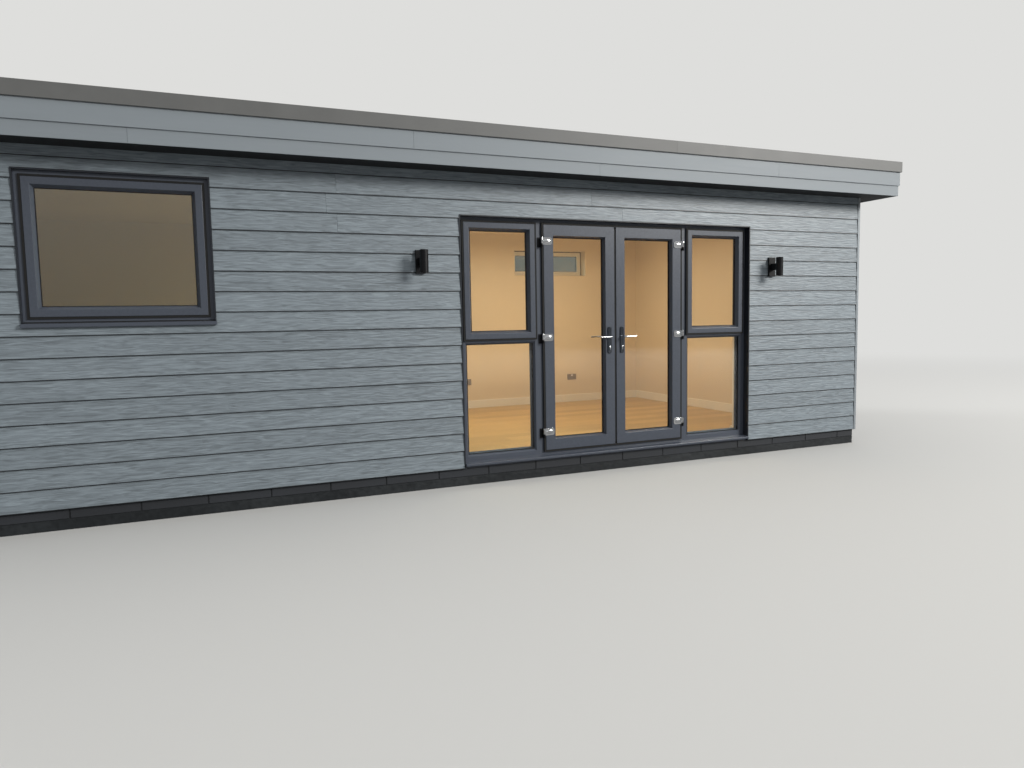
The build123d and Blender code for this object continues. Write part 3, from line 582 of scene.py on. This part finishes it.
class POD_OT_stage(bpy.types.Operator):
    """Sets up the camera, the pale floor and the soft light"""

    bl_idname = "pod.stage"
    bl_label = "Stage"

    def execute(self, context):
        settings = context.scene.pod_stage
        self.camera(context)
        self.floor(context, settings)
        self.sky(context, settings)
        self.lamps(context, settings)
        return {"FINISHED"}

    def camera(self, context):
        """The photograph's view, worked out from the building's lines."""
        place = Vector((-2.041, -7.999, 1.408))
        yaw, pitch, roll = (math.radians(a) for a in (23.31, -4.97, -1.04))
        focal, width = 741.7, 1024
        forward = Vector((math.sin(yaw) * math.cos(pitch), math.cos(yaw) * math.cos(pitch), math.sin(pitch)))
        right = Vector((math.cos(yaw), -math.sin(yaw), 0))
        up = right.cross(forward)
        turned_right = right * math.cos(roll) + up * math.sin(roll)
        turned_up = up * math.cos(roll) - right * math.sin(roll)
        data = bpy.data.cameras.new("camera")
        data.sensor_width = 36.0
        data.lens = focal / width * data.sensor_width
        data.clip_end = 200.0
        camera = bpy.data.objects.new("camera", data)
        camera.matrix_world = Matrix.Translation(place) @ Matrix(
            (turned_right, turned_up, -forward)).transposed().to_4x4()
        context.scene.collection.objects.link(camera)
        context.scene.camera = camera

    def floor(self, context, settings):
        """A round floor that fades into the backdrop for the camera."""
        radius, fade_start, fade_end = 90.0, 7.0, 24.0
        bounce = (0.25, 0.25, 0.25, 1.0)
        bm = bmesh.new()
        bmesh.ops.create_circle(bm, cap_ends=True, segments=96, radius=radius)
        mesh = bpy.data.meshes.new("studio_floor")
        bm.to_mesh(mesh)
        bm.free()
        floor = bpy.data.objects.new("studio_floor", mesh)
        material, shader, place = start_material("matt_floor_paint", Roughness=0.9)
        tree = material.node_tree
        seen = add_node("LightPath", {}, tree).outputs["Is Camera Ray"]
        link(two_tone(seen, bounce, (*settings.floor, 1.0)), shader.inputs["Base Color"])
        away = add_node("VectorMath", {0: place}, operation="LENGTH").outputs["Value"]
        far = between(away, fade_start, fade_end, interpolation_type="SMOOTHSTEP")
        plain = add_node("Emission", {"Color": (*settings.backdrop, 1.0)}, tree)
        show(reckon("MULTIPLY", far, seen), shader, plain)
        mesh.materials.append(material)
        context.scene.collection.objects.link(floor)

    def sky(self, context, settings):
        """A pale sky that lights the scene, and a plain backdrop for the camera."""
        world = bpy.data.worlds.new("soft_sky")
        world.use_nodes = True
        tree = world.node_tree
        back = tree.nodes["Background"]
        back.inputs["Color"].default_value = (1.0, 1.0, 1.0, 1.0)
        height = axis(add_node("TexCoord", {}, tree).outputs["Generated"], "Z")
        link(between(height, 0.0, 1.0, settings.horizon, settings.zenith), back.inputs["Strength"])
        plain = add_node("Background", {"Color": (*settings.backdrop, 1.0), "Strength": 1.0}, tree)
        show(add_node("LightPath", {}, tree).outputs["Is Camera Ray"], back, plain, "World Output")
        context.scene.world = world
        context.scene.view_settings.view_transform = "Standard"

    def lamps(self, context, settings):
        """Soft lamps that the camera doesn't see: two outside, and two warm ones in the room."""
        below_top, low_share = 0.06, 0.28
        x, under_ceiling = doorway_middle, clad_high.z - below_top
        warm, sunny, cool = linear("ffe5c4"), (1.0, 0.98, 0.94), (0.96, 0.98, 1.0)
        for name, power, place, aim, size, colour, spread in (
            ("key", settings.key, (18.3, -20.0, 11.6), (-0.3, -2.0, 1.2), (9.0, 6.0), sunny, 180),
            ("fill", settings.fill, (-14.0, 20.0, 13.0), (0.0, 2.0, 1.2), (8.0, 6.0), cool, 180),
            ("room", settings.room, (x, 0.0, under_ceiling), (x, 0.0, 0.0), (4.0, 2.4), warm, 170),
            ("room_low", settings.room * low_share, (x, 0.4, 0.4), (x, 0.4, 3.0), (4.0, 2.0), warm, 180),
        ):
            data = bpy.data.lights.new(name, "AREA")
            data.shape = "RECTANGLE"
            data.size, data.size_y = size
            data.energy, data.color, data.spread = power, colour, math.radians(spread)
            lamp = bpy.data.objects.new(name, data)
            lamp.location = place
            lamp.rotation_euler = (Vector(aim) - Vector(place)).to_track_quat("-Z", "Y").to_euler()
            lamp.visible_camera = False
            lamp.visible_transmission = False
            context.scene.collection.objects.link(lamp)


class POD_OT_cladding(bpy.types.Operator):
    """Lays the lapped boards on the four walls"""

    bl_idname = "pod.cladding"
    bl_label = "Cladding boards"

    def execute(self, context):
        settings = context.scene.pod_cladding
        board = embossed_board(settings.colour, settings.course)
        membrane = speckled("black_breather_membrane")
        materials = [board, membrane]
        courses = self.courses(settings)
        sill_low, sill_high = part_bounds("window_sill")
        sash_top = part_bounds("window_sash")[1].z
        back_low, back_high = part_box("window_frames", lambda co: co.y > 0)
        door = (doorway_low.x - liner, doorway_high.x + liner, 0.0, doorway_high.z + liner)
        sill_end, frame_above = 0.004, 0.045
        window = (sill_low.x + sill_end, sill_high.x - sill_end, sill_low.z, sash_top + frame_above + liner)
        back = (back_low.x - liner, back_high.x + liner, back_low.z - liner, back_high.z + liner)
        span = (clad_low.x, clad_high.x)
        side_low, side_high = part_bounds("end_cladding")
        depth = (side_low.y, side_high.y)
        long_joints, short_joints = (0.4, -1.4, 1.3), (0.6, -0.8, 1.3)
        long_run = [every(settings.board_length, joint, span) for joint in long_joints]
        short_run = [every(settings.board_length, joint, depth) for joint in short_joints]
        runs = (
            ("front_boards", [("front", span, [door, window], self.front_cuts(settings, courses), 3)],
             "front_cladding"),
            ("back_boards", [("back", span, [back], long_run, 5)], "back_cladding"),
            ("end_boards", [("left", depth, [], short_run, 7), ("right", depth, [], short_run[::-1], 9)],
             "end_cladding"),
        )
        closer_height, closer_depth, closer_thickness = 0.002, 0.010, 0.0195
        backing_depth, backing_thickness, past_end = 0.0235, 0.006, 0.003
        foot = clad_low.z + closer_height
        backing = [(foot, clad_high.z, backing_depth, 0.0, backing_thickness)]
        closer = [(clad_low.z, foot, closer_depth, 0.0, closer_thickness)]
        for name, walls, node in runs:
            bm = bmesh.new()
            for side, ends, holes, cuts, seed in walls:
                place = wall_place(side)
                lay_boards(bm, place, ends, courses, cuts, settings.joint_gap, holes, seed)
                longer = (ends[0] - past_end, ends[1] + past_end)
                lay_boards(bm, place, longer, backing, holes=holes, index=1)
                lay_boards(bm, place, ends, closer, holes=holes, index=1)
            finish_piece(name, bm, materials, "building", [node])
        return {"FINISHED"}

    def front_cuts(self, settings, courses):
        """Whole boards run left from the doorway, and over it they run past both of its sides."""
        beside = doorway_low.x - liner - settings.board_length
        over, step, fine_step = 1.3, 0.1, 0.04
        cuts = []
        for number, (low, *rest) in enumerate(courses):
            if low + settings.course < doorway_high.z:
                cuts.append([beside + step * (number % 3)])
            else:
                shift = fine_step * (number % 3)
                cuts.append([settings.known_joint - shift, over + 4 * shift])
        cuts[settings.known_course].append(settings.known_joint)
        return cuts

    def courses(self, settings):
        """Each board leans back over the one below it."""
        made = []
        low = clad_low.z
        lean, least = settings.thickness / settings.course, 0.001
        while low < clad_high.z - least:
            high = min(low + settings.board_height, clad_high.z)
            made.append((low, high, 0.0, lean, settings.thickness))
            low += settings.course
        return made


class POD_OT_base(bpy.types.Operator):
    """Lays the dark plinth blocks and dresses the footing"""

    bl_idname = "pod.base"
    bl_label = "Plinth"

    def execute(self, context):
        brick = speckled("dark_painted_block")
        mortar = speckled("dark_mortar")
        ends_low, ends_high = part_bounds("plinth_ends")
        length, first, gap, joint = 0.45, 0.27, 0.010, 0.005
        below_top, behind_face = 0.001, 0.004
        width = plinth_high.y - ends_high.y
        low, high = plinth_low.z + joint, plinth_high.z
        bm = bmesh.new()
        setback = plinth_low.y - trim_low.y
        for side, span in (
            ("front", (plinth_low.x, plinth_high.x)), ("back", (plinth_low.x, plinth_high.x)),
            ("left", (ends_low.y, ends_high.y)), ("right", (ends_low.y, ends_high.y)),
        ):
            place = wall_place(side)
            cuts = [every(length, first, span)]
            lay_boards(bm, place, span, [(low, high, setback, 0.0, width)], cuts, gap, seed=11)
            bed = (plinth_low.z, high - below_top, setback + behind_face, 0.0, width - 2 * behind_face)
            lay_boards(bm, place, span, [bed], index=1)
        finish_piece("plinth_blocks", bm, [brick, mortar], "building",
                     ["plinth_long_runs", "plinth_ends"])
        dress(speckled("black_damp_membrane"), "base_slab")
        return {"FINISHED"}


class POD_OT_roof(bpy.types.Operator):
    """Lays the fascia boards and dresses the roof"""

    bl_idname = "pod.roof"
    bl_label = "Roof edge"

    def execute(self, context):
        settings = context.scene.pod_roof
        board = smooth_board(context.scene.pod_cladding.fascia_colour)
        step, thickness, lower_height = 0.010, 0.022, 0.103
        length, gap, joints = 3.6, 0.0015, (1.24, -0.4)
        outer_x, outer_y, lap = fascia_high.x, fascia_high.y, fascia_low.z + lower_height
        lower = (fascia_low.z, lap, step, 0.0, thickness - step)
        upper = (lap, fascia_high.z, 0.0, 0.0, thickness)
        long_halves, short_halves = (outer_x - step, outer_x), (outer_y - thickness, outer_y - thickness)
        bm = bmesh.new()
        for turn, out, halves in (
            (0, outer_y, long_halves), (2, outer_y, long_halves),
            (-1, outer_x, short_halves), (1, outer_x, short_halves),
        ):
            place = Matrix.Rotation(turn * math.pi / 2, 4, "Z") @ Matrix.Translation((0, -out, 0))
            for course, joint, half in zip((lower, upper), joints, halves):
                cuts = [every(length, joint, (-half, half))]
                lay_boards(bm, place, (-half, half), [course], cuts, gap, seed=21)
        finish_piece("fascia_lengths", bm, [board], "building", ["fascia_boards"])
        trim = trim_metal(settings.trim_colour, settings.trim_length, settings.trim_joint)
        rounded(trim, 0.004, "grey_trim", "roof_trim")
        dress(speckled("grey_roof_membrane"), "roof_membrane")
        dress(speckled("black_soffit_board"), "soffit", "roof_deck")
        dress(speckled("coated_corner_trim", Metallic=0.2), "corner_trims")
        return {"FINISHED"}


class POD_OT_openings(bpy.types.Operator):
    """Dresses the door set and the windows, with their gaskets and seals"""

    bl_idname = "pod.openings"
    bl_label = "Doors and windows"

    def execute(self, context):
        settings = context.scene.pod_frames
        colour, weld = settings.colour, settings.weld_width
        plain = foiled_profile("foiled_profile", colour)
        dress(plain, "door_frame_posts", "door_frame_rails", "side_light_beads")
        rounded(plain, 0.003, "anthracite_upvc", "door_sill", "window_sill")
        dress(foiled_profile("dark_reveal_liner", linear("23272e")), "reveal_liners")
        right_sash = part_box("side_light_sashes", lambda co: co.x > doorway_middle)
        for name, node, corners, fold in (
            ("foiled_leaf_left", "door_leaf_left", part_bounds("door_leaf_left"), None),
            ("foiled_leaf_right", "door_leaf_right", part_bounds("door_leaf_right"), None),
            ("foiled_side_sash", "side_light_sashes", right_sash, doorway_middle),
            ("foiled_window_sash", "window_sash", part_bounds("window_sash"), None),
        ):
            rounded(foiled_profile(name, colour, weld, corners, fold), 0.002, "anthracite_upvc", node)
        outer_skin = 0.012
        back_face = part_box("window_frames", lambda co: co.y > 0)[1].y
        dress(two_sided_profile(colour, linear("eeeae0"), back_face - outer_skin), "window_frames")
        dress(sealed_glass("clear_float_glass", "eef4f1", 1.65),
              "door_glass_left", "door_glass_right", "side_light_glass")
        dress(sealed_glass("coated_window_glass", "bcd0cc", 2.3), "window_glass")
        rubber = speckled("black_rubber_gasket")
        self.gaskets(settings, rubber)
        self.seals_and_painted_shadow(rubber)
        self.meeting_seals(rubber)
        return {"FINISHED"}

    def gaskets(self, settings, rubber):
        """Rubber round each pane, on both of its faces."""
        held = 0.012
        rails_low, rails_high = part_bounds("door_frame_rails")
        transom = (rails_low.z + rails_high.z) / 2

        def side_pane(way, up):
            def inside(co):
                return (co.x - doorway_middle) * way > 0 and (co.z - transom) * up > 0
            return part_box("side_light_glass", inside)

        def window_pane(way):
            return part_box("window_glass", lambda co: co.y * way > 0)

        pieces = {
            "leaf_gaskets_left": ("left_leaf", [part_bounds("door_glass_left")]),
            "leaf_gaskets_right": ("right_leaf", [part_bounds("door_glass_right")]),
            "side_light_gaskets": ("building", [side_pane(way, up) for way in (-1, 1) for up in (-1, 1)]),
            "window_gaskets": ("building", [window_pane(way) for way in (-1, 1)]),
        }
        for name, (body, panes) in pieces.items():
            bm = bmesh.new()
            for low, high in panes:
                corners = (low.x + held, low.z + held), (high.x - held, high.z - held)
                ring(bm, *corners, settings.gasket_width, low.y - settings.gasket_depth, low.y)
                ring(bm, *corners, settings.gasket_width, high.y, high.y + settings.gasket_depth)
            finish_piece(name, bm, [rubber], body)

    def seals_and_painted_shadow(self, rubber):
        """Black seal on the frame round each leaf and casement, widened into a band of painted shadow at its
        edge.
        """
        # Painted shadow: the black reaches this far past each edge, for the shade in the gap beside the leaf
        # or sash.
        shadow_band_leaves, shadow_band_sash = 0.018, 0.016
        shadow_strip_end, shadow_strip_height, shadow_strip_proud = 0.015, 0.008, 0.001
        face = doorway_low.y
        bm = bmesh.new()
        self.seal_and_shadow_band(bm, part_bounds("door_leaf_left")[0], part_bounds("door_leaf_right")[1], shadow_band_leaves, face)
        for way in (-1, 1):
            low, high = part_box("side_light_sashes", lambda co, way=way: (co.x - doorway_middle) * way > 0)
            self.seal_and_shadow_band(bm, low, high, shadow_band_sash, face)
        frame_face = part_box("window_frames", lambda co: co.y < 0)[0].y
        self.seal_and_shadow_band(bm, *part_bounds("window_sash"), shadow_band_sash, frame_face)
        # A black strip on the sill along the frame's foot: painted shadow of the gap between frame and sill.
        sill_low, sill_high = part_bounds("window_sill")
        box(bm, (sill_low.x + shadow_strip_end, frame_face - shadow_strip_proud, sill_high.z),
            (sill_high.x - shadow_strip_end, frame_face, sill_high.z + shadow_strip_height))
        finish_piece("seals_and_painted_shadow", bm, [rubber], "building")

    def seal_and_shadow_band(self, bm, low, high, beyond, face):
        """A flat black ring that ends under the leaf, and a raised lip beside the leaf's edge: a real seal,
        and past it painted shadow.
        """
        under, flat, clear, lower = 0.010, 0.0035, 0.001, 0.003
        raised = face - low.y - lower
        start, end = (low.x - beyond, low.z - beyond), (high.x + beyond, high.z + beyond)
        ring(bm, start, end, beyond + under, face - flat, face)
        ring(bm, start, end, beyond - clear, face - raised, face - flat)

    def meeting_seals(self, rubber):
        """A rubber lip on each leaf's edge closes most of the gap between the leaves."""
        # It sits near the face, in line with the hinge pins, so that it swings clear of the other.
        width, start, depth, end_in = 0.0095, 0.005, 0.010, 0.02
        for side, sign in (("left", 1), ("right", -1)):
            low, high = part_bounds(f"door_leaf_{side}")
            edge = high.x if side == "left" else low.x
            x0, x1 = sorted((edge, edge + sign * width))
            bm = bmesh.new()
            box(bm, (x0, low.y + start, low.z + end_in), (x1, low.y + start + depth, high.z - end_in))
            finish_piece(f"meeting_seal_{side}", bm, [rubber], f"{side}_leaf")


class POD_OT_fittings(bpy.types.Operator):
    """Dresses levers, hinges, lights and sockets, and adds their small parts"""

    bl_idname = "pod.fittings"
    bl_label = "Fittings"

    def execute(self, context):
        chrome = polished("polished_chrome", linear("d4d6d8"), 0.14)
        rounded(chrome, 0.0035, "chrome", "hinge_flags_left", "hinge_flags_right")
        dress(chrome, "levers_left", "levers_right")
        # Painted reflection: the plates are chrome darkened to stand in for the dark surroundings they
        # mirror.
        plate = polished("chrome_plate_painted_dark_reflection", linear("5c6168"), 0.14)
        rounded(plate, 0.0015, "chrome", "handle_plates_left", "handle_plates_right")
        coat = speckled("black_powder_coat", Specular_IOR_Level=0.25)
        dress(coat, "wall_lights")
        rounded(coat, 0.001, "black_metal", "hinge_bases")
        rounded(polished("brushed_steel", linear("9a928a"), 0.35), 0.002, "brushed_steel", "sockets")
        self.hinge_caps(chrome)
        self.lenses()
        self.socket_parts()
        self.keyholes(chrome)
        return {"FINISHED"}

    def hinge_caps(self, chrome):
        """A low oval cap on each hinge flag, which catches light and dark."""
        sizes = (0.034, 0.0045, 0.019)
        from_end, below_top, near_end, slack, count = 0.048, 0.032, 0.03, 0.0001, 3
        for side, way in (("left", -1), ("right", 1)):
            node = f"hinge_flags_{side}"
            low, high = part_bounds(node)
            third = (high.z - low.z) / count
            end = high.x if side == "left" else low.x
            bm = bmesh.new()
            for n in range(count):
                def on_flag(co, base=low.z + n * third):
                    return base <= co.z <= base + third + slack and abs(co.x - end) < near_end
                flag_low, flag_high = part_box(node, on_flag)
                dome(bm, (end + way * from_end, flag_low.y, flag_high.z - below_top), sizes)
            finish_piece(f"hinge_caps_{side}", bm, [chrome], f"{side}_leaf")

    def lenses(self):
        """Frosted discs inside both ends of each tube."""
        frosted = speckled("frosted_lens")
        from_wall, radius, wall, clear = 0.118, 0.034, 0.003, 0.0005
        recess, disc, past_arm = 0.0115, 0.003, 0.01
        y = trim_low.y - from_wall
        bm = bmesh.new()
        for way in (-1, 1):
            def on_light(co, way=way):
                return (co.x - doorway_middle) * way > 0
            low, high = part_box("wall_lights", on_light)
            x = (low.x + high.x) / 2
            tube_low, tube_high = part_box("wall_lights", lambda co: on_light(co) and co.y < y - past_arm)
            for z, up in ((tube_low.z, 1), (tube_high.z, -1)):
                start = z + up * recess
                rod(bm, (x, y, start), (x, y, start - up * disc), radius - wall - clear)
        finish_piece("light_lenses", bm, [frosted], "building")

    def socket_parts(self):
        """Two switches and the pin slots of two outlets on each plate, the slots as dark boxes of painted
        shade.
        """
        white = speckled("white_switch_plastic")
        dark = speckled("pin_slot_painted_shade")
        switch_out, switch_half, switch_low, switch_high = 0.008, 0.007, 0.012, 0.034
        outlet_out, switch_proud, slot_proud = 0.036, 0.002, 0.0004
        slots = (
            (0.0, 0.010, 0.004, 0.008), (-0.011, -0.012, 0.0065, 0.004), (0.011, -0.012, 0.0065, 0.004))
        bm = bmesh.new()
        low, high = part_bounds("sockets")
        split = (low.x + high.x) / 2
        for way in (-1, 1):
            a, b = part_box("sockets", lambda co, way=way: (co.x - split) * way > 0)
            x, y, z = (a.x + b.x) / 2, a.y, (a.z + b.z) / 2
            for side in (-1, 1):
                switch, outlet = x + side * switch_out, x + side * outlet_out
                box(bm, (switch - switch_half, y - switch_proud, z + switch_low),
                    (switch + switch_half, y, z + switch_high))
                for dx, dz, w, h in slots:
                    box(bm, (outlet + dx - w / 2, y - slot_proud, z + dz - h / 2),
                        (outlet + dx + w / 2, y, z + dz + h / 2), 0.5, 1)
        finish_piece("socket_parts", bm, [white, dark], "building")

    def keyholes(self, chrome):
        """The bright domed face of each key cylinder, round above and narrow below, with its slot as a black
        box of painted shade.
        """
        dark = speckled("keyway_painted_shade")
        above_foot, proud = 0.060, 0.004
        round_part, lower_part, drop = (0.0095, proud, 0.0095), (0.0055, proud, 0.014), 0.014
        slot_half, slot_below, slot_above = 0.001, 0.005, 0.004
        slot_in, slot_out = proud * 0.6, proud + 0.0003
        for side in ("left", "right"):
            low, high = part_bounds(f"handle_plates_{side}")
            x, z = (low.x + high.x) / 2, low.z + above_foot
            bm = bmesh.new()
            for y, way in ((low.y, -1), (high.y, 1)):
                dome(bm, (x, y, z), round_part)
                dome(bm, (x, y, z - drop), lower_part)
                near, far = sorted((y + way * slot_in, y + way * slot_out))
                box(bm, (x - slot_half, near, z - slot_below),
                    (x + slot_half, far, z + slot_above), 0.5, 1)
            finish_piece(f"key_cylinders_{side}", bm, [chrome, dark], f"{side}_leaf")


class POD_OT_room(bpy.types.Operator):
    """Lays the floor and dresses the room"""

    bl_idname = "pod.room"
    bl_label = "Room"

    def execute(self, context):
        settings = context.scene.pod_room
        plaster = speckled("emulsion_on_plaster", settings.plaster_colour)
        dress(plaster, "front_wall", "front_wall_panels", "back_wall", "back_wall_panels",
              "left_wall", "right_wall", "ceiling")
        paint = speckled("satin_wood_paint")
        dress(paint, "skirting")
        self.reveal_linings(paint)
        self.planks(settings)
        return {"FINISHED"}

    def planks(self, settings):
        """Floor planks in rows, whose threshold strip is no wider than the doorway."""
        seam, gap, past, starts = 0.0004, 0.0006, 9.0, (0.1, 0.53, 0.96, 0.3, 0.75, 1.2)
        lowest, edge, y = floor_low.y, -floor_high.y, floor_high.y
        thickness = floor_high.z - floor_low.z
        rows = []
        while y > lowest:
            rows.append((max(y - settings.plank_width, lowest) + seam, y, 0.0, 0.0, thickness))
            y -= settings.plank_width
        half = doorway_high.x - doorway_middle + liner
        left, right = doorway_middle - half, doorway_middle + half
        holes = [(-past, left, lowest - 1, edge), (right, past, lowest - 1, edge)]
        place = Matrix(((1, 0, 0, 0), (0, 0, 1, 0), (0, -1, 0, floor_high.z), (0, 0, 0, 1)))
        span = (floor_low.x, floor_high.x)
        cuts = [every(settings.plank_length, start, span) for start in starts]
        bm = bmesh.new()
        lay_boards(bm, place, span, rows, cuts, gap, holes, 31)
        oak = oak_plank(settings.floor_colour)
        finish_piece("floor_planks", bm, [oak], "building", ["floor_boards"])

    def reveal_linings(self, paint):
        """White linings of the doorway between the frame and the room, with the skirting round them."""
        thick, foot, behind_frame = 0.020, 0.015, 0.0005
        back, room = doorway_high.y + behind_frame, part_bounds("front_wall")[1].y
        floor_top, head = floor_high.z, doorway_high.z + liner
        board_low, board_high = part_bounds("skirting")
        board_top = floor_top + board_high.z - board_low.z
        half = doorway_high.x - doorway_middle + liner
        bm = bmesh.new()
        for side in (-1, 1):
            wall = doorway_middle + side * half
            face = wall - side * thick
            nose = face - side * foot
            for x0, x1, y0, y1, top in (
                (wall, face, back, room, head), (face, nose, back, room, board_top),
                (wall, nose, room, room + foot, board_top),
            ):
                box(bm, (min(x0, x1), y0, floor_top), (max(x0, x1), y1, top))
        inner = half - thick
        box(bm, (doorway_middle - inner, back, head - thick), (doorway_middle + inner, room, head))
        finish_piece("reveal_linings", bm, [paint], "building")


class POD_PT_panel(bpy.types.Panel):
    """Lists the steps that dress the garden office"""

    bl_idname = "POD_PT_panel"
    bl_label = "Garden office pod"
    bl_space_type = "VIEW_3D"
    bl_region_type = "UI"
    bl_category = "Pod"

    def draw(self, context):
        for operator in steps:
            self.layout.operator(operator.bl_idname)


groups = {
    "pod_cladding": CladdingSettings,
    "pod_frames": FrameSettings,
    "pod_roof": RoofSettings,
    "pod_room": RoomSettings,
    "pod_stage": StageSettings,
}
steps = (
    POD_OT_stage, POD_OT_cladding, POD_OT_base, POD_OT_roof, POD_OT_openings, POD_OT_fittings, POD_OT_room)


def register():
    for name, group in groups.items():
        bpy.utils.register_class(group)
        setattr(bpy.types.Scene, name, PointerProperty(type=group))
    for operator in steps:
        bpy.utils.register_class(operator)
    bpy.utils.register_class(POD_PT_panel)


def unregister():
    bpy.utils.unregister_class(POD_PT_panel)
    for operator in reversed(steps):
        bpy.utils.unregister_class(operator)
    for name, group in reversed(groups.items()):
        delattr(bpy.types.Scene, name)
        bpy.utils.unregister_class(group)


def main():
    register()
    bpy.ops.pod.stage()
    bpy.ops.pod.cladding()
    bpy.ops.pod.base()
    bpy.ops.pod.roof()
    bpy.ops.pod.openings()
    bpy.ops.pod.fittings()
    bpy.ops.pod.room()


if __name__ == "__main__":
    main()
